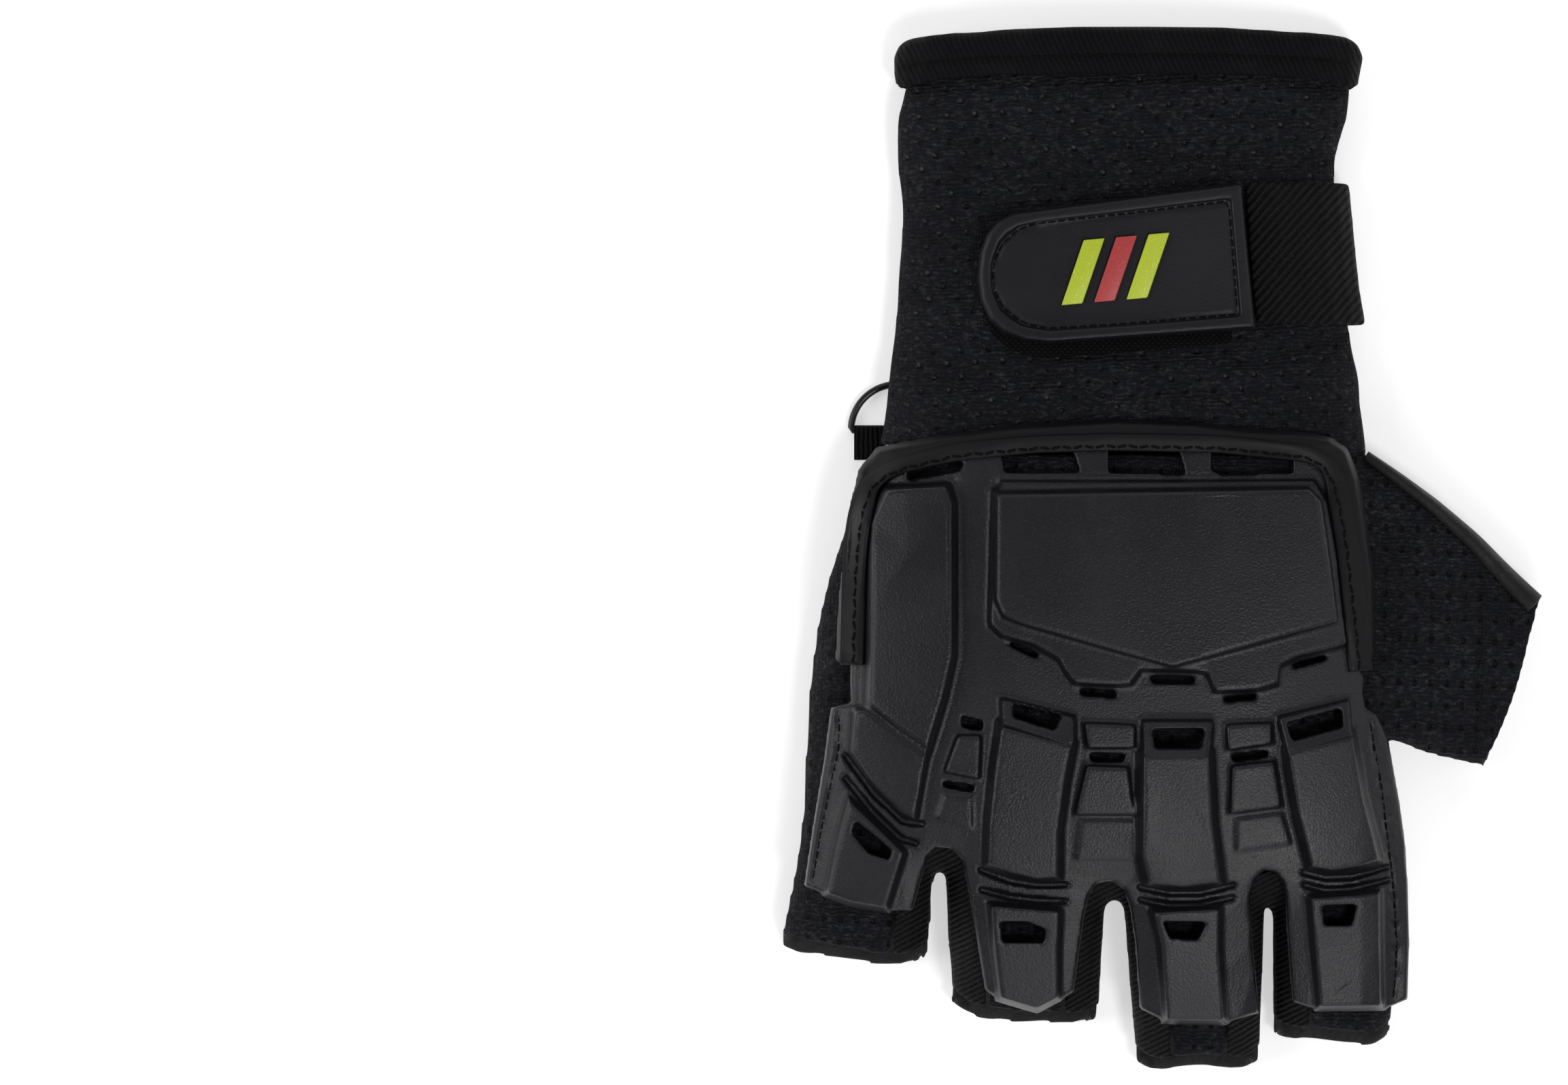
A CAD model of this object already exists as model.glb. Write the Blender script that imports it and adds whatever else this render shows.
# %% [markdown]
# # A half-finger armoured glove
#
# The glove lies on its palm with the cuff at the top of the picture. Its solid
# model is loaded first and never changes: it says where each piece is and how
# large it is. The cells below then make the piece that is seen, in the same
# place: cloth with folds, moulded rubber with soft edges, tape and thread.

# %% Load the solid model
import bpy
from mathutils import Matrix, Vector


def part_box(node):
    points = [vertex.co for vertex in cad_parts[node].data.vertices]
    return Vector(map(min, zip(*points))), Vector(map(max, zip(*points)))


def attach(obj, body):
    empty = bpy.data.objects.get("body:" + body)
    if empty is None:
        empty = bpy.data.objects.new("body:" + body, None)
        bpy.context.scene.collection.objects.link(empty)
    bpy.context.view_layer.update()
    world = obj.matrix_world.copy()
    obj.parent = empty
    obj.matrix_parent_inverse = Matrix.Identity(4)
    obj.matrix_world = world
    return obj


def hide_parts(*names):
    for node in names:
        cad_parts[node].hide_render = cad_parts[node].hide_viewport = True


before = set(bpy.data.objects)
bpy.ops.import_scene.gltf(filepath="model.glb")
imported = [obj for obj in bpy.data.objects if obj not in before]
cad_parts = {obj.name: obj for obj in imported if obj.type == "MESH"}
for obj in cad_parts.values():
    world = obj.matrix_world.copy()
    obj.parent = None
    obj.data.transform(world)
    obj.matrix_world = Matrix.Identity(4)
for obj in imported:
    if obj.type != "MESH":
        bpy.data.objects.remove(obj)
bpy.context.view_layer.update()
print("solids:", len(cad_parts))

# %% Tools
import math

import bmesh
import bpy
import numpy as np
from mathutils import Matrix, Vector, noise
from mathutils.bvhtree import BVHTree

MM = 0.001


def only(piece):
    """Selects one piece and nothing else."""
    bpy.ops.object.select_all(action="DESELECT")
    piece.select_set(True)
    bpy.context.view_layer.objects.active = piece


def applied(piece, kind, **settings):
    """Adds a modifier with its settings and applies it."""
    only(piece)
    modifier = piece.modifiers.new(kind.title(), kind)
    for key, value in settings.items():
        setattr(modifier, key, value)
    bpy.ops.object.modifier_apply(modifier=modifier.name)


def corners(piece):
    """A mesh's vertices as an array with a row for each."""
    flat = np.empty(len(piece.data.vertices) * 3)
    piece.data.vertices.foreach_get("co", flat)
    return flat.reshape(-1, 3)


def move_corners(piece, places):
    piece.data.vertices.foreach_set("co", places.ravel())
    piece.data.update()


def facing(piece):
    """The normals of a mesh's vertices, as an array."""
    flat = np.empty(len(piece.data.vertices) * 3)
    piece.data.vertices.foreach_get("normal", flat)
    return flat.reshape(-1, 3)


# %% [markdown]
# ## A copy to work on
#
# A solid's shape is right but coarse. A copy of its mesh can be reworked
# freely while the solid stays for weight and contact. The copy's loose
# triangles are merged first, because a remesh needs a closed skin.

# %% Copy a solid
def copy_of(node, name):
    piece = bpy.data.objects.new(name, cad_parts[node].data.copy())
    bpy.context.scene.collection.objects.link(piece)
    piece.data.materials.clear()
    only(piece)
    bpy.ops.object.mode_set(mode="EDIT")
    bpy.ops.mesh.select_all(action="SELECT")
    bpy.ops.mesh.remove_doubles(threshold=0.00001)
    bpy.ops.mesh.customdata_custom_splitnormals_clear()
    bpy.ops.object.mode_set(mode="OBJECT")
    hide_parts(node)
    return piece


def soften(piece, voxel, rounds, swell=0.0, kept=1.0):
    """Remeshes evenly and rounds the edges, as moulding or sewing would."""
    applied(piece, "REMESH", mode="VOXEL", voxel_size=voxel, use_smooth_shade=True)
    applied(piece, "SMOOTH", factor=0.5, iterations=rounds)
    if swell:
        applied(piece, "DISPLACE", strength=swell, mid_level=0.0)
    if kept < 1:
        applied(piece, "DECIMATE", ratio=kept)


def hand_over(piece, material):
    """Gives a finished piece its finish and lets it move with the glove."""
    piece.data.materials.clear()
    piece.data.materials.append(material)
    piece.data.shade_smooth()
    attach(piece, "root")
    print(piece.name, "faces:", len(piece.data.polygons))


# %% [markdown]
# ## The bend of the hand
#
# The moulded plate and the strap's tab were flat in their mould and are bent
# over the hand. Rounding edges works best flat, so those copies are flattened,
# worked on, and bent back. The bend is a height over the ground that follows
# the hand: high in the middle, lower at the sides, and low at the wrist.

# %% Sections of the hand, as shares of its sizes
HAND_WIDTH = 0.100
HAND_LENGTH = 0.200
CROWN_HEIGHT = 0.0262
ARCH_DROP = 0.0080
THUMB_HEIGHT = 0.0125
THUMB_ROOT = 0.0380
THUMB_FULL = 0.0680
# along the hand, left side, right side, height of the back
SECTIONS = np.array((
    (-1.000, -0.738, 0.432, 0.61), (-0.930, -0.738, 0.436, 0.66), (-0.760, -0.738, 0.449, 0.80),
    (-0.600, -0.708, 0.449, 0.93), (-0.500, -0.696, 0.440, 0.98), (-0.380, -0.690, 0.426, 1.00),
    (-0.270, -0.684, 0.408, 1.00), (-0.150, -0.669, 0.400, 0.975), (-0.050, -0.646, 0.396, 0.945),
    (0.050, -0.612, 0.390, 0.90), (0.160, -0.568, 0.383, 0.84), (0.280, -0.542, 0.380, 0.77),
    (0.380, -0.532, 0.377, 0.71), (0.440, -0.529, 0.362, 0.68), (0.500, -0.526, 0.352, 0.67),
    (0.620, -0.520, 0.340, 0.66), (0.727, -0.520, 0.333, 0.65), (0.800, -0.527, 0.360, 0.64),
    (0.900, -0.515, 0.366, 0.61), (0.980, -0.505, 0.368, 0.60)))


def section_value(y, column):
    """A column of the table at each y, on a smooth curve through its rows."""
    along, values = SECTIONS[:, 0], SECTIONS[:, column]
    slopes = np.empty(len(along))
    slopes[1:-1] = (values[2:] - values[:-2]) / (along[2:] - along[:-2])
    slopes[0] = (values[1] - values[0]) / (along[1] - along[0])
    slopes[-1] = (values[-1] - values[-2]) / (along[-1] - along[-2])
    place = np.clip(y / (HAND_LENGTH / 2), along[0], along[-1])
    k = np.clip(np.searchsorted(along, place) - 1, 0, len(along) - 2)
    step = along[k + 1] - along[k]
    t = (place - along[k]) / step
    return ((2 * t**3 - 3 * t**2 + 1) * values[k] + (t**3 - 2 * t**2 + t) * step * slopes[k]
            + (3 * t**2 - 2 * t**3) * values[k + 1] + (t**3 - t**2) * step * slopes[k + 1])


def back_of_hand(x, y):
    """Height of the back of the hand over the ground, for arrays of x and y."""
    left = section_value(y, 1) * HAND_WIDTH
    right = section_value(y, 2) * HAND_WIDTH
    share = section_value(y, 3)
    across = np.minimum(1.0, np.abs(2 * x - left - right) / (right - left))
    hand = CROWN_HEIGHT * share - ARCH_DROP * share**2 * across**2.6
    t = np.clip((x - THUMB_ROOT) / (THUMB_FULL - THUMB_ROOT), 0, 1)
    t = t * t * (3 - 2 * t)
    return hand + (THUMB_HEIGHT - hand) * t


def bend(piece, way):
    """Flattens a piece with way -1, and bends it back over the hand with way 1."""
    places = corners(piece)
    places[:, 2] += way * back_of_hand(places[:, 0], places[:, 1])
    move_corners(piece, places)


print("height at the knuckles:", round(float(back_of_hand(np.array([-0.01]), np.array([-0.03]))[0]), 4))

# %% [markdown]
# ## Finishes
#
# Every finish is built from nodes on Object coordinates, in metres, so that
# weave, grain and holes keep their true size on every piece. A few helpers
# keep the node trees short. Colours, roughness and relief each vary, because
# worn cloth and moulded rubber never shine evenly.

# %% Node helpers
class Finish:
    """A material and short ways to add nodes to it."""

    def __init__(self, name, colour, roughness):
        self.material = bpy.data.materials.new(name)
        self.material.use_nodes = True
        self.nodes = self.material.node_tree.nodes
        self.links = self.material.node_tree.links
        self.shader = self.nodes["Principled BSDF"]
        self.shader.inputs["Base Color"].default_value = (*colour, 1)
        self.shader.inputs["Roughness"].default_value = roughness
        self.normal = None

    def node(self, kind, inputs=(), **settings):
        made = self.nodes.new(kind)
        for key, value in settings.items():
            setattr(made, key, value)
        for key, value in dict(inputs).items():
            if hasattr(value, "is_output"):
                self.links.new(value, made.inputs[key])
            else:
                made.inputs[key].default_value = value
        return made

    def place(self, scale=(1, 1, 1), turn=0.0, shift=(0, 0, 0)):
        """Object coordinates, turned about Z and scaled."""
        where = self.node("ShaderNodeTexCoord").outputs["Object"]
        inputs = {"Vector": where, "Scale": scale, "Rotation": (0, 0, turn), "Location": shift}
        return self.node("ShaderNodeMapping", inputs).outputs["Vector"]

    def noise(self, scale, detail=2.0, rough=0.5, at=None):
        inputs = {"Vector": at or self.place(), "Scale": scale, "Detail": detail, "Roughness": rough}
        return self.node("ShaderNodeTexNoise", inputs).outputs["Fac"]

    def ribs(self, at, scale, wobble=0.0):
        """Soft parallel ribs across the first axis."""
        inputs = {"Vector": at, "Scale": scale, "Distortion": wobble, "Detail": 1.0}
        return self.node("ShaderNodeTexWave", inputs, bands_direction="X").outputs["Fac"]

    def dots(self, at, radius, soft, shifts=(0.0, 0.5)):
        """1 in round holes of a lattice with pitch 1, 0 between them."""
        near = None
        for shift in shifts:
            moved = self.node("ShaderNodeVectorMath", {0: at, 1: (shift, shift, 0)}, operation="ADD")
            cell = self.node("ShaderNodeVectorMath", {0: moved.outputs[0]}, operation="FRACTION")
            flat = self.node("ShaderNodeVectorMath", {0: cell.outputs[0], 1: (1, 1, 0)},
                             operation="MULTIPLY")
            middle = self.node("ShaderNodeVectorMath", {0: flat.outputs[0], 1: (0.5, 0.5, 0)},
                               operation="SUBTRACT")
            length = self.node("ShaderNodeVectorMath", {0: middle.outputs[0]}, operation="LENGTH")
            reach = length.outputs["Value"]
            near = reach if near is None else self.math("MINIMUM", near, reach)
        return self.between(near, radius + soft, radius, 0.0, 1.0)

    def between(self, value, low, high, out_low=0.0, out_high=1.0):
        inputs = {"Value": value, "From Min": low, "From Max": high, "To Min": out_low, "To Max": out_high}
        return self.node("ShaderNodeMapRange", inputs).outputs["Result"]

    def math(self, operation, a, b):
        return self.node("ShaderNodeMath", {0: a, 1: b}, operation=operation).outputs[0]

    def mix(self, share, a, b):
        made = self.node("ShaderNodeMix", data_type="RGBA")
        for index, value in ((0, share), (6, a), (7, b)):
            if hasattr(value, "is_output"):
                self.links.new(value, made.inputs[index])
            else:
                made.inputs[index].default_value = value if index == 0 else (*value, 1)
        return made.outputs[2]

    def colour(self, value):
        self.links.new(value, self.shader.inputs["Base Color"])

    def rough(self, value):
        self.links.new(value, self.shader.inputs["Roughness"])

    def relief(self, height, depth, strength=1.0):
        """Adds a relief over the ones before it. depth is in metres."""
        inputs = {"Height": height, "Distance": depth, "Strength": strength}
        if self.normal is not None:
            inputs["Normal"] = self.normal
        self.normal = self.node("ShaderNodeBump", inputs).outputs["Normal"]
        self.links.new(self.normal, self.shader.inputs["Normal"])

    def edges(self, low=0.52, high=0.60):
        """1 on worn outer edges."""
        point = self.node("ShaderNodeNewGeometry").outputs["Pointiness"]
        return self.between(point, low, high)


# %% [markdown]
# ### Moulded rubber
#
# The plate is one soft moulding with a fine eggshell grain. Its highlights are
# wide and dull. Edges that rub are a little paler and smoother.

# %% Rubber
def rubber(name, base, pale, roughness, grain, shine=0.45):
    made = Finish(name, base, roughness)
    cloud = made.noise(55, 3.0, 0.6)
    dust = made.noise(2600, 2.0, 0.6)
    tone = made.mix(cloud, base, pale)
    tone = made.mix(made.between(dust, 0.60, 0.78, 0.0, 0.5), tone, tuple(c * 2.0 for c in pale))
    tone = made.mix(made.math("MULTIPLY", made.edges(), 0.08), tone, tuple(c * 1.8 for c in pale))
    made.colour(tone)
    patchy = made.math("ADD", made.between(cloud, 0.3, 0.7, -0.05, 0.06), roughness)
    made.rough(made.math("SUBTRACT", patchy, made.math("MULTIPLY", made.edges(), 0.08)))
    made.relief(made.noise(2300, 2.0, 0.6), 0.00013, grain)
    made.shader.inputs["Specular IOR Level"].default_value = shine
    return made.material


plate_rubber = rubber("plate_rubber", (0.0042, 0.0039, 0.0066), (0.0072, 0.0069, 0.0102), 0.40, 0.75)
rim_rubber = rubber("rim_rubber", (0.0039, 0.0036, 0.0049), (0.0060, 0.0057, 0.0073), 0.50, 0.25, 0.22)
tab_rubber = rubber("tab_rubber", (0.0051, 0.0048, 0.0078), (0.0072, 0.0069, 0.0102), 0.46, 0.25, 0.32)
ring_plastic = rubber("ring_plastic", (0.0104, 0.0104, 0.0117), (0.0143, 0.0143, 0.0156), 0.30, 0.10)
lime_rubber = rubber("lime_rubber", (0.46, 0.56, 0.030), (0.52, 0.62, 0.045), 0.45, 0.20)
red_rubber = rubber("red_rubber", (0.42, 0.045, 0.050), (0.48, 0.060, 0.062), 0.45, 0.20)
print("rubber finishes:", 6)

# %% [markdown]
# ### Mesh cloth
#
# The back and the cuff are a knitted spacer mesh: a tight black knit with
# pinholes, staggered on the cuff and in plain rows on the hand, and flecks
# where single threads catch the light.

# %% Mesh cloth
# a wave texture of scale 1 repeats every 0.314 m
WAVE = 0.314
ROW_PITCH = 0.00075
COLUMN_PITCH = 0.00060


def mesh_cloth(name, across, along, turn, shifts, hole, tuft):
    made = Finish(name, (0.006, 0.006, 0.008), 0.88)
    at = made.place((1 / across, 1 / along, 0), turn)
    beside = made.place((1 / across, 1 / along, 0), turn, (0.05, -0.04, 0))
    holes = made.dots(at, hole, 0.09, shifts)
    tufts = made.dots(beside, 0.02, 0.085, shifts)
    tufts = made.math("MULTIPLY", tufts, made.between(made.noise(620, 3.0, 0.7), 0.44, 0.60))
    rows = made.ribs(made.place((1, 1, 1), turn + math.pi / 2), WAVE / ROW_PITCH, 5.0)
    columns = made.ribs(made.place((1, 1, 1), turn), WAVE / COLUMN_PITCH, 4.0)
    knit = made.math("MULTIPLY", rows, made.between(columns, 0, 1, 0.45, 1.0))
    fleck = made.between(made.noise(1.0, 3.0, 0.7, made.place((700, 1500, 900), turn)), 0.50, 0.72)
    cloud = made.noise(60, 4.0, 0.65)
    tone = made.mix(cloud, (0.0026, 0.0027, 0.0045), (0.0118, 0.0125, 0.0166))
    tone = made.mix(made.math("MULTIPLY", knit, 0.30), tone, (0.0272, 0.0281, 0.0314))
    tone = made.mix(made.math("MULTIPLY", fleck, made.between(cloud, 0.35, 0.65, 0.22, 0.65)), tone,
                    (0.0646, 0.0654, 0.0680))
    tone = made.mix(made.math("MULTIPLY", holes, 0.70), tone, (0.0010, 0.0010, 0.0016))
    tone = made.mix(made.math("MULTIPLY", tufts, tuft), tone, (0.120, 0.120, 0.115))
    made.colour(tone)
    made.rough(made.between(fleck, 0, 1, 0.93, 0.78))
    made.relief(knit, 0.00030, 0.9)
    made.relief(made.noise(1300, 3.0, 0.7), 0.00022, 0.8)
    made.relief(made.math("SUBTRACT", 1.0, holes), 0.00060, 0.9)
    made.shader.inputs["Specular IOR Level"].default_value = 0.12
    return made.material


cuff_cloth = mesh_cloth("cuff_cloth", 0.0053, 0.0050, math.radians(-3), (0.0, 0.5), 0.045, 0.55)
hand_cloth = mesh_cloth("hand_cloth", 0.0031, 0.0042, math.radians(2), (0.0,), 0.090, 0.10)
print("mesh cloths:", cuff_cloth.name, hand_cloth.name)

# %% [markdown]
# ### Ribbed elastic, tape and webbing
#
# Narrow fabrics are woven with visible ribs. The side walls stretch across
# their ribs, the tape's ribs run aslant over its fold, and the strap is a
# coarse twill whose ribs lean.

# %% Ribbed fabrics
def ribbed(name, turn, pitch, depth, pale, wobble=1.2):
    made = Finish(name, (0.006, 0.006, 0.007), 0.82)
    rib = made.ribs(made.place((1, 1, 1), turn), WAVE / pitch, wobble)
    cross = made.ribs(made.place((1, 1, 1), turn + math.pi / 2), 0.8 / pitch, wobble)
    weave = made.math("MULTIPLY", rib, made.between(cross, 0, 1, 0.72, 1.0))
    tone = made.mix(weave, (0.0012, 0.0012, 0.0016), pale)
    lint = made.between(made.noise(1700, 2.0), 0.58, 0.75, 0.0, 0.4)
    tone = made.mix(lint, tone, tuple(c * 1.9 for c in pale))
    made.colour(tone)
    made.rough(made.between(made.noise(160, 3.0), 0.3, 0.7, 0.74, 0.90))
    made.relief(weave, depth, 1.0)
    made.relief(made.noise(1900, 2.0), 0.00012, 0.7)
    made.shader.inputs["Specular IOR Level"].default_value = 0.15
    return made.material


wall_elastic = ribbed("wall_elastic", math.radians(62), 0.00095, 0.00035, (0.0189, 0.0191, 0.0207))
edge_tape = ribbed("edge_tape", math.radians(-24), 0.0010, 0.00022, (0.0055, 0.0053, 0.0073))
strap_twill = ribbed("strap_twill", math.radians(42), 0.00130, 0.00065, (0.0147, 0.0147, 0.0156), 1.0)
loop_webbing = ribbed("loop_webbing", 0.0, 0.0009, 0.00025, (0.0117, 0.0117, 0.0130))
print("ribbed fabrics:", 4)


# %% [markdown]
# ### Leather and hook tape
#
# The palm is thin split leather with a pebbled grain and fine wrinkles. The
# hook tape under the tab is a carpet of short hooks, so it only needs a rough,
# very dark relief.

# %% Leather and hooks
def leather(name, base, pale, grain):
    made = Finish(name, base, 0.58)
    made.shader.inputs["Specular IOR Level"].default_value = 0.22
    cells = made.node("ShaderNodeTexVoronoi", {"Vector": made.place(), "Scale": 900.0, "Randomness": 1.0})
    pebble = cells.outputs["Distance"]
    wrinkle = made.noise(130, 5.0, 0.7)
    tone = made.mix(wrinkle, base, pale)
    made.colour(made.mix(made.math("MULTIPLY", made.edges(), 0.5), tone, tuple(c * 1.9 for c in pale)))
    made.rough(made.between(wrinkle, 0.3, 0.7, 0.66, 0.50))
    made.relief(pebble, 0.00012, grain)
    made.relief(wrinkle, 0.0011, 0.55)
    return made.material


def hooks(name):
    made = Finish(name, (0.006, 0.006, 0.007), 0.9)
    made.shader.inputs["Specular IOR Level"].default_value = 0.10
    tips = made.dots(made.place((900, 900, 0)), 0.18, 0.12)
    made.colour(made.mix(tips, (0.0015, 0.0015, 0.0018), (0.0080, 0.0080, 0.0090)))
    made.rough(made.between(made.noise(700), 0.3, 0.7, 0.80, 0.95))
    made.relief(tips, 0.0006, 1.0)
    return made.material


palm_leather = leather("palm_leather", (0.0091, 0.0091, 0.0104), (0.0163, 0.0163, 0.0175), 0.9)
patch_leather = leather("patch_leather", (0.0078, 0.0074, 0.0073), (0.0143, 0.0135, 0.0130), 0.7)
hook_pile = hooks("hook_pile")


def thread_finish(name, tone):
    made = Finish(name, tone, 0.62)
    made.shader.inputs["Specular IOR Level"].default_value = 0.12
    twist = made.ribs(made.place((1, 1, 1), math.radians(40)), 900, 1.0)
    made.colour(made.mix(twist, tuple(c * 0.5 for c in tone), tuple(c * 1.5 for c in tone)))
    made.rough(made.between(twist, 0, 1, 0.70, 0.52))
    made.relief(twist, 0.00008, 0.8)
    return made.material


black_thread = thread_finish("black_thread", (0.0020, 0.0020, 0.0024))
grey_thread = thread_finish("grey_thread", (0.0120, 0.0120, 0.0132))
print("leather, hooks and thread ready")


# %% [markdown]
# ## Lines pressed into a surface
#
# Sewing pulls a surface in along its line, and a fold in cloth is a long
# shallow dent. At a seam every vertex near the line sinks along its own
# normal. At a fold the upper part of a sheet sinks straight down. Both are
# deepest on the line and less away from it.

# %% Dents along lines
def from_line(places, line):
    """Distance on the ground from every vertex to a line of (x, y) points."""
    nearest = np.full(len(places), np.inf)
    for a, b in zip(line, line[1:]):
        a, b = np.array(a), np.array(b)
        run = b - a
        t = np.clip(((places[:, :2] - a) @ run) / max(run @ run, 1e-12), 0, 1)
        gap = np.linalg.norm(places[:, :2] - a - t[:, None] * run, axis=1)
        nearest = np.minimum(nearest, gap)
    return nearest


def press(piece, line, width, depth, side=1):
    """Sinks the upper surface along a line, or the lower one with side -1."""
    places = corners(piece)
    normals = facing(piece)
    dent = depth * np.exp(-((from_line(places, line) / width) ** 2))
    dent *= np.clip(side * normals[:, 2] * 3, 0, 1)
    move_corners(piece, places - normals * dent[:, None])


def fold(piece, line, width, depth):
    """Lowers the upper part of a sheet along a line, both its faces together."""
    places = corners(piece)
    share = places[:, 2] / back_of_hand(places[:, 0], places[:, 1])
    upper = np.clip((share - 0.35) / 0.3, 0, 1)
    places[:, 2] -= depth * upper * np.exp(-((from_line(places, line) / width) ** 2))
    move_corners(piece, places)


def mm(*points):
    """Points given in millimetres."""
    return [(x * MM, y * MM) for x, y in points]


# %% [markdown]
# ## The knuckle plate
#
# One moulding covers the back of the hand and reaches down each finger. Its
# raised panels keep flat tops and rounded shoulders. The copy is flattened,
# remeshed finely so the shoulders can round, and bent back.

# %% Knuckle plate
plate = copy_of("armour", "knuckle_plate")
bend(plate, -1)
soften(plate, 0.00040, 3, 0.00008, 0.42)
FLANGE_SEAMS = (
    mm((38.6, -33.0), (40.7, -44.0), (42.2, -56.1), (43.4, -65.4), (44.0, -76.5), (43.4, -85.8)),
    mm((-62.6, -31.0), (-62.7, -38.0), (-64.3, -45.0), (-66.2, -54.3), (-67.6, -63.0)),
)
for line in FLANGE_SEAMS:
    press(plate, line, 0.0005, 0.0004)
CREASES = (
    (mm((-56.8, -30.0), (-51.5, -34.8), (-46.7, -38.3)), 0.0007, 0.0004),
    (mm((-59.0, 11.4), (-51.6, 12.8), (-41.0, 13.2)), 0.0009, 0.0005),
    (mm((-33.5, 12.8), (-5.0, 13.4), (27.0, 13.0)), 0.0009, 0.0004),
)
for line, width, depth in CREASES:
    press(plate, line, width, depth)
bend(plate, 1)
hand_over(plate, plate_rubber)

# %% [markdown]
# ## The rolled rim
#
# A soft strip is folded over the plate's edge and sewn down inside. It is
# rounder than the plate, so it gets more rounds of smoothing.

# %% Rim
rim = copy_of("armour_border", "plate_rim")
bend(rim, -1)
soften(rim, 0.00036, 7, 0.00030, 0.6)
bend(rim, 1)
hand_over(rim, rim_rubber)


# %% [markdown]
# ## Cloth of the hand and the cuff
#
# The mesh is soft, so it never lies flat: it sags between its seams and folds
# where the strap and the thumb pull it. The remeshed copy sinks unevenly by a
# slow noise, always inwards so that it stays clear of the plate and the strap,
# and then folds along the lines where the photograph shows folds.

# %% Sagging
def sag(piece, size, depth, inwards):
    """Moves a sheet unevenly inwards, both its faces together."""
    places = corners(piece)
    clouds = np.array([noise.noise(Vector(place) / size) for place in places])
    move_corners(piece, places + inwards(places) * (depth * (0.5 + 0.5 * clouds))[:, None])


def down(places):
    """The way down, for cloth that lies over the hand."""
    return np.tile((0.0, 0.0, -1.0), (len(places), 1))


def to_wrist(places):
    """The way to the middle of the wrist, for cloth that goes round it."""
    ways = np.array((-0.0070, 0.0, 0.0080)) - places
    ways[:, 1] = 0
    return ways / np.maximum(np.linalg.norm(ways, axis=1), 0.004)[:, None]


# %% [markdown]
# The finger stalls and the thumb end in hems. Cloth that is turned under and
# sewn makes a thicker edge with rounded corners, so the same two moves are
# made on the cloth, the side walls and the palm: the corners of each mouth
# draw back, and a band along the mouth swells.

# %% Finger ends
# little, ring, middle and index finger and the thumb: a mouth's two corners,
# and how far the corners draw back
MOUTHS = (
    (mm((-73.7, -75.0), (-45.5, -77.5)), 0.0022), (mm((-41.2, -86.5), (-12.8, -89.5)), 0.0024),
    (mm((-5.8, -97.0), (18.3, -97.0)), 0.0024), (mm((20.6, -91.5), (43.6, -92.5)), 0.0022),
    (mm((61.8, -42.0), (72.9, -8.6)), 0.0005))
HEM = 0.0036


def at_mouth(places, mouth):
    """Each place's share of the way along a mouth, and how far it is behind the mouth."""
    a, b = np.array(mouth[0]), np.array(mouth[1])
    run = (b - a) / np.linalg.norm(b - a)
    inwards = np.array((-run[1], run[0]))
    along = (places[:, :2] - a) @ run / np.linalg.norm(b - a)
    return along, (places[:, :2] - a) @ inwards, inwards


def round_ends(piece, hem=0.0):
    """Rounds the corners of every mouth, and swells its hem."""
    places = corners(piece)
    normals = facing(piece)
    for number, (mouth, depth) in enumerate(MOUTHS):
        along, behind, inwards = at_mouth(places, mouth)
        share = np.abs(2 * along - 1)
        close = (share < 1.12) & (behind > -0.004) & (behind < 0.012)
        pull = depth * np.clip((share - 0.55) / 0.45, 0, 1.1) ** 2.4 * np.clip(1 - behind / 0.012, 0, 1)
        wave = 0.0004 * np.sin(7 * along + 2 * number) * np.clip(1 - behind / 0.008, 0, 1)
        places[:, :2] += np.where(close, pull + wave, 0)[:, None] * inwards
        band = np.clip((HEM - behind) / 0.0007, 0, 1) * np.clip(normals[:, 2] * 2, 0, 1)
        places[:, 2] += np.where(close, hem * band, 0)
    move_corners(piece, places)


# %% Back of the hand
back = copy_of("back_panel", "hand_back")
soften(back, 0.00075, 10)
sag(back, 0.010, 0.0008, down)
round_ends(back, 0.00045)
THUMB_HEM = mm((61.6, -4.0), (61.0, -14.0), (60.3, -26.0), (60.0, -40.0))
BACK_FOLDS = (
    (THUMB_HEM, 0.0009, 0.0008),
    (mm((39.0, 6.0), (47.0, -2.0), (53.0, -12.0)), 0.0022, 0.0010),
    (mm((40.0, -12.0), (48.0, -18.0), (54.0, -27.0)), 0.0026, 0.0012),
    (mm((42.0, -30.0), (50.0, -31.0), (57.0, -34.0)), 0.0020, 0.0009),
    (mm((-63.0, -8.0), (-67.0, -22.0)), 0.0018, 0.0007),
    (mm((-70.0, -62.0), (-62.0, -68.0), (-52.0, -70.0)), 0.0016, 0.0006),
)
for line, width, depth in BACK_FOLDS:
    fold(back, line, width, depth)
hand_over(back, hand_cloth)

# %% Cuff
cuff = copy_of("cuff", "long_cuff")
soften(cuff, 0.00080, 12)
sag(cuff, 0.013, 0.0020, to_wrist)
CUFF_FOLDS = (
    (mm((36.0, 72.5), (24.0, 75.0), (10.0, 76.5), (-4.0, 77.0)), 0.0028, 0.0022),
    (mm((34.0, 80.0), (22.0, 84.0), (8.0, 84.5)), 0.0026, 0.0012),
    (mm((38.0, 42.0), (26.0, 38.5), (12.0, 36.0)), 0.0022, 0.0014),
    (mm((-53.0, 70.0), (-44.0, 71.5), (-34.0, 70.0)), 0.0030, 0.0014),
    (mm((-54.0, 38.0), (-44.0, 34.0), (-34.0, 32.5), (-22.0, 33.5)), 0.0026, 0.0018),
    (mm((-54.0, 52.0), (-46.0, 50.0), (-38.0, 51.0)), 0.0026, 0.0014),
    (mm((-34.0, 39.5), (-20.0, 37.5), (-2.0, 37.0), (14.0, 39.0)), 0.0016, 0.0010),
    (mm((-12.0, 30.0), (2.0, 31.5), (18.0, 30.0)), 0.0024, 0.0012),
    (mm((-52.0, 88.0), (-36.0, 90.2), (0.0, 90.8), (20.0, 90.4), (38.0, 88.0)), 0.0014, 0.0008),
)
for line, width, depth in CUFF_FOLDS:
    fold(cuff, line, width, depth)
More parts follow.
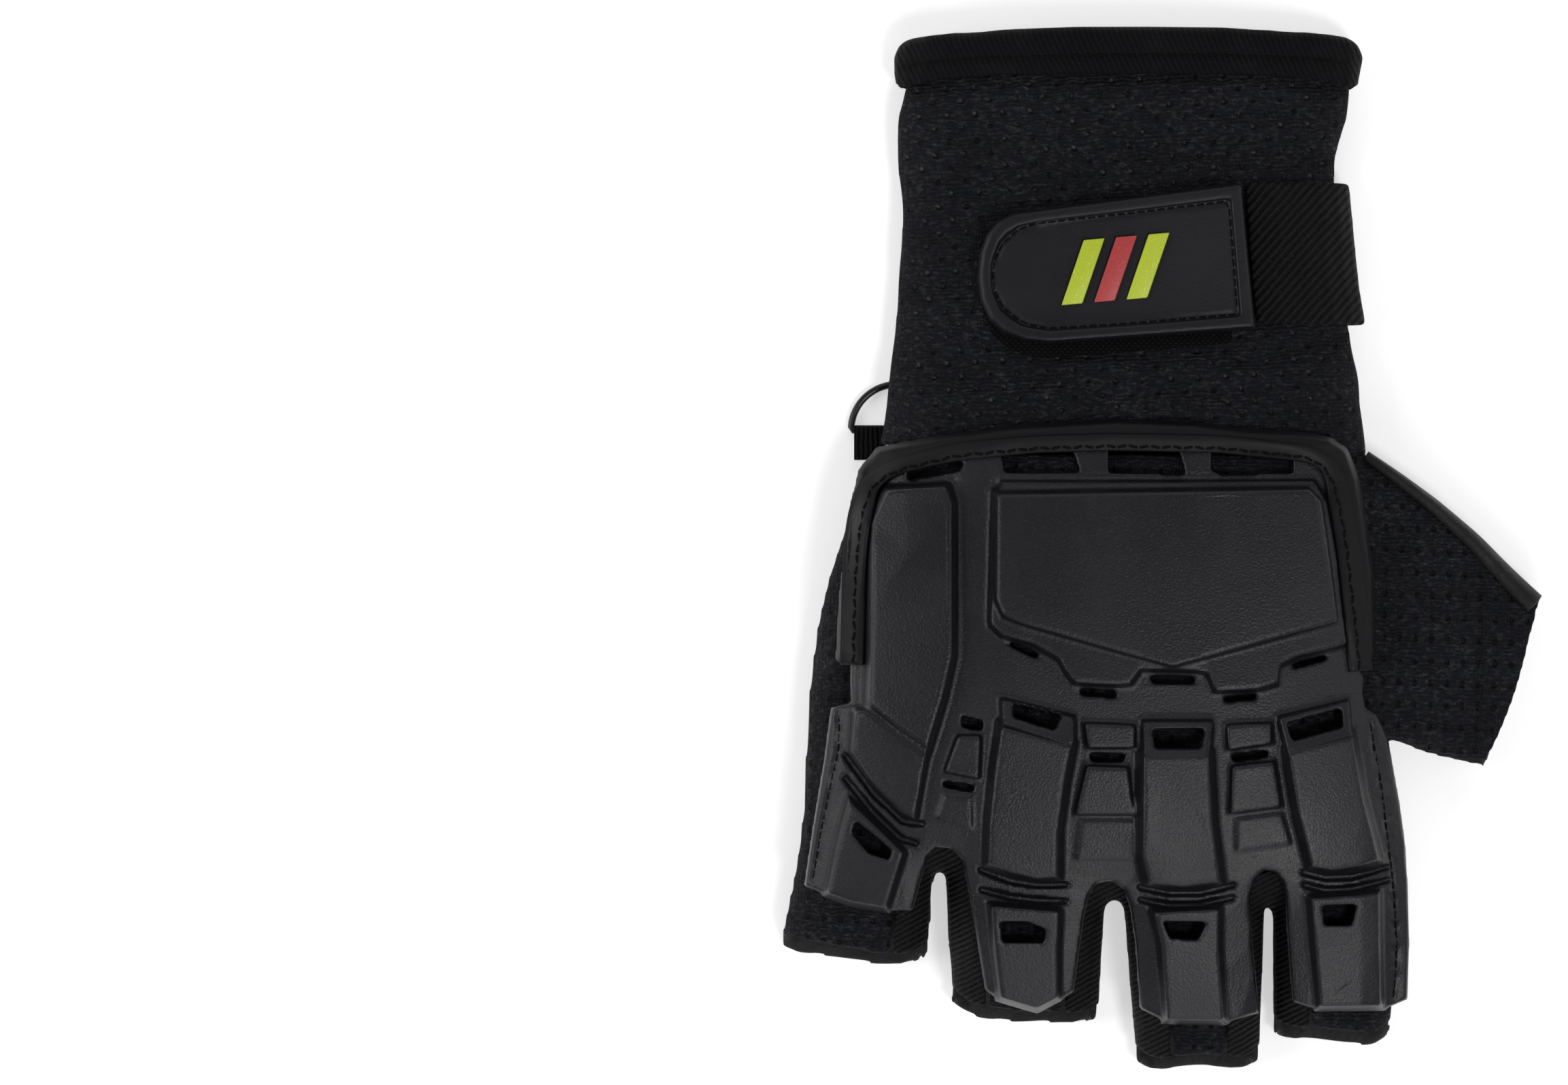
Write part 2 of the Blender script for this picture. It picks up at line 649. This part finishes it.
# The thumb's corner of the cuff runs down into the seam with the hand.
places = corners(cuff)
corner = np.clip((places[:, 0] - 0.030) / 0.004, 0, 1) * np.clip((0.028 - places[:, 1]) / 0.007, 0, 1)
places[:, :2] += corner[:, None] * (0.0014, -0.0026)
move_corners(cuff, places)
hand_over(cuff, cuff_cloth)

# %% [markdown]
# ## Side walls of the fingers
#
# A ribbed strip runs up one finger, round the crotch and down the next. It is
# elastic, so that a finger can swell when it bends.

# %% Side walls
for pair in ("little_ring", "ring_middle", "middle_index"):
    wall = copy_of("side_wall_" + pair, "elastic_wall_" + pair)
    soften(wall, 0.00052, 6)
    round_ends(wall)
    hand_over(wall, wall_elastic)

# %% [markdown]
# ## Palm
#
# Leather takes the wear, with a sewn patch where the hand grips. Under the
# wrist the palm goes on as a tongue. None of it shows from above, but the
# glove is also seen from below.

# %% Palm leather and patch
palm = copy_of("palm_panel", "leather_palm")
soften(palm, 0.00075, 8)
round_ends(palm)
PALM_FOLDS = (
    (mm((-44.0, 30.0), (-20.0, 38.0), (4.0, 37.0)), 0.0018, 0.0006),
    (mm((-50.0, -38.0), (-34.0, -50.0), (-6.0, -56.0), (30.0, -54.0)), 0.0018, 0.0006),
    (mm((44.0, 0.0), (49.0, -14.0), (48.0, -30.0)), 0.0022, 0.0008),
    (mm((-55.0, -20.0), (-46.0, -14.0)), 0.0020, 0.0007),
)
for line, width, depth in PALM_FOLDS:
    press(palm, line, width, depth, -1)
hand_over(palm, palm_leather)

patch = copy_of("palm_patch", "grip_patch")
soften(patch, 0.00060, 8)
PAD_LINE = mm(
    (30.0, -38.5), (12.4, -37.9), (-14.1, -34.0), (-22.3, -30.6), (-26.3, -24.4), (-25.6, -9.8),
    (-22.3, 12.7), (-19.7, 16.8), (-14.1, 17.6), (7.1, 13.0), (24.0, 4.5))
press(patch, PAD_LINE, 0.0007, 0.0005, -1)
hand_over(patch, patch_leather)

# %% [markdown]
# ## Binding tape
#
# Raw edges are closed with ribbed tape that is folded over and sewn through.
# The seam pulls the tape in along its line.

# %% Tape
tape = copy_of("cuff_binding", "cuff_tape")
soften(tape, 0.00050, 10, 0.00015)
places = corners(tape)
middle = (places[:, 0].min() + places[:, 0].max()) / 2
share = np.abs(places[:, 0] - middle) / (places[:, 0].max() - middle)
rise = np.clip((share - 0.50) / 0.47, 0, 1)
edge = np.clip((places[:, 1] - 0.0880) / 0.0060, 0, 1)
end = np.clip((share - 0.90) / 0.10, 0, 1) ** 2
places[:, 1] += (0.0034 * rise * rise - 0.0016 * end) * edge + 0.0024 * end * (1 - edge)
places[:, 0] += 0.0010 * end * (1 - edge) * np.sign(middle - places[:, 0])
move_corners(tape, places)
CUFF_SEAM = mm((-49.8, 92.6), (-46.0, 93.3), (-36.0, 94.0), (-14.0, 94.5), (0.0, 94.6), (10.4, 94.5),
               (22.0, 94.2), (30.0, 93.8), (38.2, 92.8))
press(tape, CUFF_SEAM, 0.0007, 0.0005)
hand_over(tape, edge_tape)

tongue_tape = copy_of("tongue_binding", "tongue_tape")
soften(tongue_tape, 0.00045, 6)
hand_over(tongue_tape, edge_tape)

# %% [markdown]
# ## Strap and tab
#
# The elastic strap comes round from the palm and ends in a moulded tab. The
# tab has a raised rim with a sewn groove inside it. Hook tape under it holds
# it to the cuff's cloth.

# %% Strap
strap = copy_of("wrist_strap", "elastic_strap")
soften(strap, 0.00050, 6, 0.00010)
hand_over(strap, strap_twill)

# %% Tab and hook tape
tab = copy_of("strap_tab", "pull_tab")
bend(tab, -1)
soften(tab, 0.00032, 4, 0.00005)
TAB_SEAM = mm((13.2, 44.9), (-7.0, 43.2), (-22.6, 42.2), (-27.5, 43.2), (-31.4, 46.2), (-33.2, 50.0),
              (-33.2, 54.4), (-31.6, 58.2), (-28.2, 61.2), (-24.5, 62.2), (-8.0, 64.0), (11.6, 66.4),
              (13.2, 44.9))
press(tab, TAB_SEAM, 0.00045, 0.00045)
bend(tab, 1)
hand_over(tab, tab_rubber)

hook_tape = copy_of("hook_patch", "hook_tape")
soften(hook_tape, 0.00045, 2)
hook_tape.data.transform(Matrix.Translation((0.0004, -0.0017, -0.0002)))
hand_over(hook_tape, hook_pile)

# %% [markdown]
# ## Emblem
#
# The tab carries a plain emblem of three slanted bars. Each bar is a cube made
# flat, leaned over by moving its upper edge, and bevelled like a moulding.

# %% Emblem bars
BAR_SIZE = (4.0 * MM, 12.0 * MM, 0.7 * MM)
BAR_LEAN = 5.3 * MM


def emblem_bar(node, name, material):
    low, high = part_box(node)
    middle = (Vector(low) + Vector(high)) / 2
    bpy.ops.object.select_all(action="DESELECT")
    bpy.ops.mesh.primitive_cube_add(size=1.0, location=(0, 0, 0))
    bar = bpy.context.object
    bar.name = name
    bar.data.transform(Matrix.Diagonal((*BAR_SIZE, 1)))
    for vertex in bar.data.vertices:
        vertex.co.x += BAR_LEAN * vertex.co.y / BAR_SIZE[1]
    applied(bar, "BEVEL", width=0.00022, segments=3)
    bar.data.transform(Matrix.Translation(middle) @ Matrix.Rotation(math.radians(5), 4, "Z"))
    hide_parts(node)
    hand_over(bar, material)


emblem_bar("emblem_lime_left", "lime_bar_left", lime_rubber)
emblem_bar("emblem_red", "red_bar", red_rubber)
emblem_bar("emblem_lime_right", "lime_bar_right", lime_rubber)

# %% [markdown]
# ## D-ring
#
# A small plastic ring hangs at the cuff's side in a webbing loop. The ring is
# a curve with a round section: a straight bar and a half circle.

# %% D-ring and loop
ring_low, ring_high = (Vector(corner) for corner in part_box("d_ring"))
WIRE = 0.00068
radius = (ring_high.x - ring_low.x) / 2 - WIRE
centre = Vector(((ring_low.x + ring_high.x) / 2, ring_low.y + WIRE, 0))
outline = [centre + Vector((radius * share, 0, 0)) for share in np.linspace(0.94, -0.94, 12)]
START = 0.09
outline += [centre + radius * Vector((-math.cos(turn), math.sin(turn), 0))
            for turn in np.linspace(START, math.pi - START, 32)]
curve = bpy.data.curves.new("ring_path", "CURVE")
curve.dimensions = "3D"
curve.bevel_depth = WIRE
curve.bevel_resolution = 4
spline = curve.splines.new("POLY")
spline.points.add(len(outline) - 1)
for point, place in zip(spline.points, outline):
    lean = (place.x - ring_low.x) / (ring_high.x - ring_low.x)
    high = ring_high.z - WIRE + (ring_low.z + 2 * WIRE - ring_high.z) * lean
    point.co = (place.x, place.y, high, 1)
spline.use_cyclic_u = True
ring = bpy.data.objects.new("d_ring_wire", curve)
bpy.context.scene.collection.objects.link(ring)
only(ring)
bpy.ops.object.convert(target="MESH")
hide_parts("d_ring")
hand_over(ring, ring_plastic)

loop = copy_of("ring_loop", "webbing_loop")
applied(loop, "BEVEL", width=0.00012, segments=2)
hand_over(loop, loop_webbing)


# %% [markdown]
# ## Lip of the rim, and the thumb's piping
#
# The rolled rim ends in a thin lip that is sewn to the plate, and it closes
# the groove between them. The thumb's outer seam is covered with a narrow
# strip of leather. Both are grids laid along a line: the rows follow it, and
# the height of every point is measured on the pieces below.

# %% Strips laid along a line
def looking_down(piece):
    """A tree of a piece's faces, for finding its height."""
    mesh = bmesh.new()
    mesh.from_mesh(piece.data)
    tree = BVHTree.FromBMesh(mesh)
    mesh.free()
    return tree


def surface_height(tree, x, y, side=1):
    hit = tree.ray_cast(Vector((x, y, 0.1 * side)), Vector((0, 0, -side)))[0]
    return hit.z if hit else None


def even(line, count):
    """Points at even distances along a line, with its corners eased."""
    points = np.array(line)
    run = np.concatenate(([0], np.cumsum(np.linalg.norm(np.diff(points, axis=0), axis=1))))
    at = np.linspace(0, run[-1], count)
    path = np.column_stack([np.interp(at, run, points[:, axis]) for axis in (0, 1)])
    for _ in range(8):
        path[1:-1] = (path[:-2] + 2 * path[1:-1] + path[2:]) / 4
    return path


def aside(path, distance):
    """The path moved to its left by a distance, or by one for each point."""
    run = np.gradient(path, axis=0)
    run /= np.linalg.norm(run, axis=1)[:, None]
    return path + np.column_stack((-run[:, 1], run[:, 0])) * np.reshape(distance, (-1, 1))


def heights(tree, path):
    """A surface's heights under a path, with gaps filled and bumps eased."""
    found = [surface_height(tree, x, y) for x, y in path]
    known = [index for index, value in enumerate(found) if value is not None]
    levels = np.interp(range(len(found)), known, [found[index] for index in known])
    for _ in range(6):
        levels[1:-1] = (levels[:-2] + 2 * levels[1:-1] + levels[2:]) / 4
    return levels


def strip(name, rows, thickness):
    """A closed strip through rows of places, all of the same length."""
    rows = np.array(rows)
    across, along = rows.shape[:2]
    bpy.ops.object.select_all(action="DESELECT")
    bpy.ops.mesh.primitive_grid_add(x_subdivisions=along - 1, y_subdivisions=across - 1, size=1)
    piece = bpy.context.object
    piece.name = name
    flat = corners(piece)
    i = np.rint((flat[:, 0] + 0.5) * (along - 1)).astype(int)
    j = np.rint((flat[:, 1] + 0.5) * (across - 1)).astype(int)
    move_corners(piece, rows[j, i])
    applied(piece, "SOLIDIFY", thickness=thickness, offset=-1)
    bpy.ops.object.mode_set(mode="EDIT")
    bpy.ops.mesh.select_all(action="SELECT")
    bpy.ops.mesh.normals_make_consistent(inside=False)
    bpy.ops.object.mode_set(mode="OBJECT")
    return piece


# %% Lip of the rim
plate_tree = looking_down(plate)
rim_tree = looking_down(rim)
RIM_SEAM = mm(
    (36.9, -23.0), (36.1, -15.0), (35.3, -8.0), (34.5, 0.0), (33.2, 8.0), (31.5, 14.5), (28.0, 17.8),
    (20.0, 18.7), (10.0, 19.7), (-10.0, 20.1), (-25.0, 19.7), (-40.0, 18.3), (-52.0, 15.5),
    (-56.5, 13.0), (-58.3, 8.5), (-59.4, 2.0), (-60.0, -6.0), (-60.4, -21.8))
lip_path = even(RIM_SEAM, 200)
plate_side = aside(lip_path, np.interp(lip_path[:, 1], (0.009, 0.016), (0.0024, 0.0010)))
rim_side = aside(lip_path, -0.0018)
plate_level = heights(plate_tree, plate_side)
rim_level = heights(rim_tree, rim_side)
rows = []
for share in np.linspace(0, 1, 9):
    ground = plate_side + (rim_side - plate_side) * share
    level = plate_level + (rim_level - plate_level) * (3 * share**2 - 2 * share**3)
    level += 0.00025 * math.sin(math.pi * share) - 0.00012
    rows.append(np.column_stack((ground, level)))
lip = strip("rim_lip", rows, 0.0009)
hand_over(lip, rim_rubber)

# %% Piping of the thumb
back_tree = looking_down(back)
THUMB_EDGE = mm((38.4, 18.0), (44.6, 13.8), (51.5, 8.8), (59.4, 2.2), (66.3, -4.7), (71.6, -9.6))
outer = even(THUMB_EDGE, 60)
width = np.interp(np.linspace(0, 1, 60), (0, 0.25, 0.6, 1), (0.0003, 0.0008, 0.0016, 0.0026))
inner_level = heights(back_tree, aside(outer, -width - 0.0006))
rows = []
for share in np.linspace(0, 1, 11):
    ground = aside(outer, 0.0003 - (width + 0.0003) * share)
    level = inner_level + 0.0006 * math.sin(math.pi * share) ** 0.7 - 0.0022 * (1 - share) ** 3 - 0.0001
    rows.append(np.column_stack((ground, level)))
piping = strip("thumb_piping", rows, 0.0008)
hand_over(piping, patch_leather)

# %% [markdown]
# ## Thread
#
# One stitch is a short six-sided rod with pinched ends. It is copied along
# each seam, laid on whatever it was sewn into, and the copies of one seam are
# one piece. The height of the surface is found by looking straight down.

# %% One stitch
bpy.ops.object.select_all(action="DESELECT")
bpy.ops.mesh.primitive_cylinder_add(vertices=6, radius=0.5, depth=1.0, rotation=(0, math.radians(90), 0))
bpy.ops.object.transform_apply(location=False, rotation=True, scale=False)
rod = bpy.context.object
applied(rod, "BEVEL", width=0.22, segments=2, limit_method="ANGLE")
stitch_points = corners(rod)
stitch_faces = [tuple(face.vertices) for face in rod.data.polygons]
bpy.data.objects.remove(rod)
print("faces in a stitch:", len(stitch_faces))


# %% Sew a seam
def spaced(line, pitch):
    """Points a pitch apart along a line."""
    points = [Vector((*p, 0)) for p in line]
    found = [points[0]]
    left = pitch
    for a, b in zip(points, points[1:]):
        run = (b - a).length
        place = left
        while place <= run:
            found.append(a + (b - a) * place / run)
            place += pitch
        left = place - run
    return found


def sew(name, line, trees, pitch, material, thick=0.00042, share=0.78, side=1, sway=0.0):
    """Lays stitches along a line, on the upper side of the given surfaces."""
    marks = spaced(line, pitch)
    verts, faces = [], []
    for index, (a, b) in enumerate(zip(marks, marks[1:])):
        heights = []
        for point in (a, b):
            levels = [surface_height(tree, point.x, point.y, side) for tree in trees]
            levels = [level for level in levels if level is not None]
            heights.append((max(levels) if side > 0 else min(levels)) if levels else None)
        if None in heights or abs(heights[0] - heights[1]) > 1.2 * pitch:
            continue
        start = Vector((a.x, a.y, heights[0]))
        end = Vector((b.x, b.y, heights[1]))
        run = end - start
        across = Vector((-run.y, run.x, 0)).normalized() * sway * (1 if index % 2 else -1)
        start, end = start - across, end + across
        run = end - start
        turn = run.to_track_quat("X", "Z").to_matrix()
        middle = (start + end) / 2 + Vector((0, 0, side * thick * 0.15))
        base = len(verts)
        for x, y, z in stitch_points:
            verts.append(middle + turn @ Vector((x * run.length * share, y * thick, z * thick)))
        faces += [tuple(base + i for i in face) for face in stitch_faces]
    mesh = bpy.data.meshes.new(name)
    mesh.from_pydata(verts, [], faces)
    seam = bpy.data.objects.new(name, mesh)
    bpy.context.scene.collection.objects.link(seam)
    hand_over(seam, material)


lip_tree = looking_down(lip)
tape_tree = looking_down(tape)
tab_tree = looking_down(tab)
patch_tree = looking_down(patch)

# %% [markdown]
# ## Seams
#
# The plate's rim is sewn with a slight zigzag, the tab and the tape with
# straight lockstitch, and the finger openings with a hem.

# %% Seams on the back
sew("rim_stitches", aside(lip_path, 0.0004), [lip_tree], 0.0021, black_thread,
    0.00055, sway=0.00025)
for index, line in enumerate(FLANGE_SEAMS):
    sew(f"flange_stitches_{index}", line, [plate_tree], 0.0019, black_thread, 0.00034)
sew("tape_stitches", CUFF_SEAM, [tape_tree], 0.0026, black_thread)
sew("tab_stitches", TAB_SEAM, [tab_tree], 0.0019, black_thread, 0.00036)
THUMB_ROWS = mm((65.4, -7.0), (64.9, -16.0), (63.8, -28.0), (62.6, -38.5))
sew("thumb_row_stitches", THUMB_ROWS, [back_tree], 0.0024, grey_thread, 0.00032)
sew("thumb_hem_stitches", THUMB_HEM, [back_tree], 0.0022, grey_thread, 0.00034)
FINGER_HEMS = {
    "little": mm((-72.6, -71.8), (-66.0, -73.4), (-56.0, -74.5), (-52.0, -74.8)),
    "ring": mm((-34.0, -84.6), (-27.0, -86.8), (-20.5, -87.0)),
    "middle": mm((0.0, -94.0), (6.0, -94.4), (11.0, -94.2)),
    "index": mm((28.0, -89.6), (34.0, -90.4), (41.0, -90.0)),
}
for finger, line in FINGER_HEMS.items():
    sew(f"{finger}_hem_stitches", line, [back_tree], 0.0022, grey_thread, 0.00032)

# %% Seams on the palm
PATCH_SEAM = mm(
    (34.0, -41.5), (12.0, -45.0), (-14.6, -43.6), (-27.0, -41.4), (-33.2, -39.2), (-38.6, -24.2),
    (-39.2, -10.0), (-37.2, 9.2), (-33.0, 25.6), (-28.0, 31.2), (-22.0, 32.0), (-12.4, 29.8),
    (11.2, 19.4), (25.6, 10.8), (31.8, 1.6), (31.4, -7.4), (26.6, -10.2), (21.4, -16.0),
    (22.0, -24.2), (29.0, -31.2), (33.2, -35.8), (34.0, -41.5))
sew("patch_stitches", PATCH_SEAM, [patch_tree], 0.0024, black_thread, side=-1)
sew("pad_stitches", PAD_LINE, [patch_tree], 0.0024, black_thread, side=-1)

# %% [markdown]
# ## Floor, light and camera
#
# The glove lies on a light table: white paper that glows a little from below.
# One small light over it draws the highlights on the moulded blocks, and four
# large ones round it fill in. The camera looks straight down through
# a long lens, aimed left of the glove as in the photograph.

# %% Floor
bpy.ops.object.select_all(action="DESELECT")
bpy.ops.mesh.primitive_plane_add(size=6.0, location=(0, 0, -0.0002))
floor = bpy.context.object
floor.name = "paper"
paper = Finish("paper", (0.88, 0.88, 0.88), 0.9)
paper.colour(paper.mix(paper.noise(4, 2.0), (0.87, 0.87, 0.87), (0.89, 0.89, 0.89)))
paper.shader.inputs["Emission Color"].default_value = (1, 1, 1, 1)
paper.shader.inputs["Emission Strength"].default_value = 0.50
floor.data.materials.append(paper.material)


# %% Light
def soft_light(name, place, aim, size, power):
    data = bpy.data.lights.new(name, "AREA")
    data.shape = "DISK"
    data.size = size
    data.energy = power
    light = bpy.data.objects.new(name, data)
    light.location = place
    light.rotation_euler = (Vector(aim) - Vector(place)).to_track_quat("-Z", "Y").to_euler()
    bpy.context.scene.collection.objects.link(light)


soft_light("over", (0.33, -0.38, 1.2), (0, -0.04, 0), 0.26, 4.2)
soft_light("left", (-1.9, 0.2, 1.4), (0, 0, 0), 1.8, 22)
soft_light("near", (0.2, -2.0, 1.4), (0, 0, 0), 1.8, 16)
soft_light("right", (1.9, 0.3, 1.4), (0, 0, 0), 1.8, 8)
soft_light("far", (0.0, 1.9, 1.4), (0, 0, 0), 1.8, 8)
world = bpy.data.worlds.new("tent")
world.use_nodes = True
world.node_tree.nodes["Background"].inputs["Color"].default_value = (1, 1, 1, 1)
world.node_tree.nodes["Background"].inputs["Strength"].default_value = 0.08
bpy.context.scene.world = world
bpy.context.scene.view_settings.view_transform = "Standard"

# %% Camera
FRAME_WIDTH = 0.2998
CAMERA_HEIGHT = 1.8
AIM = (-0.0731, 0.0014)
lens = bpy.data.cameras.new("camera")
lens.sensor_width = 36.0
lens.lens = 36.0 * CAMERA_HEIGHT / FRAME_WIDTH
camera = bpy.data.objects.new("camera", lens)
camera.location = (*AIM, CAMERA_HEIGHT + 0.015)
bpy.context.scene.collection.objects.link(camera)
bpy.context.scene.camera = camera
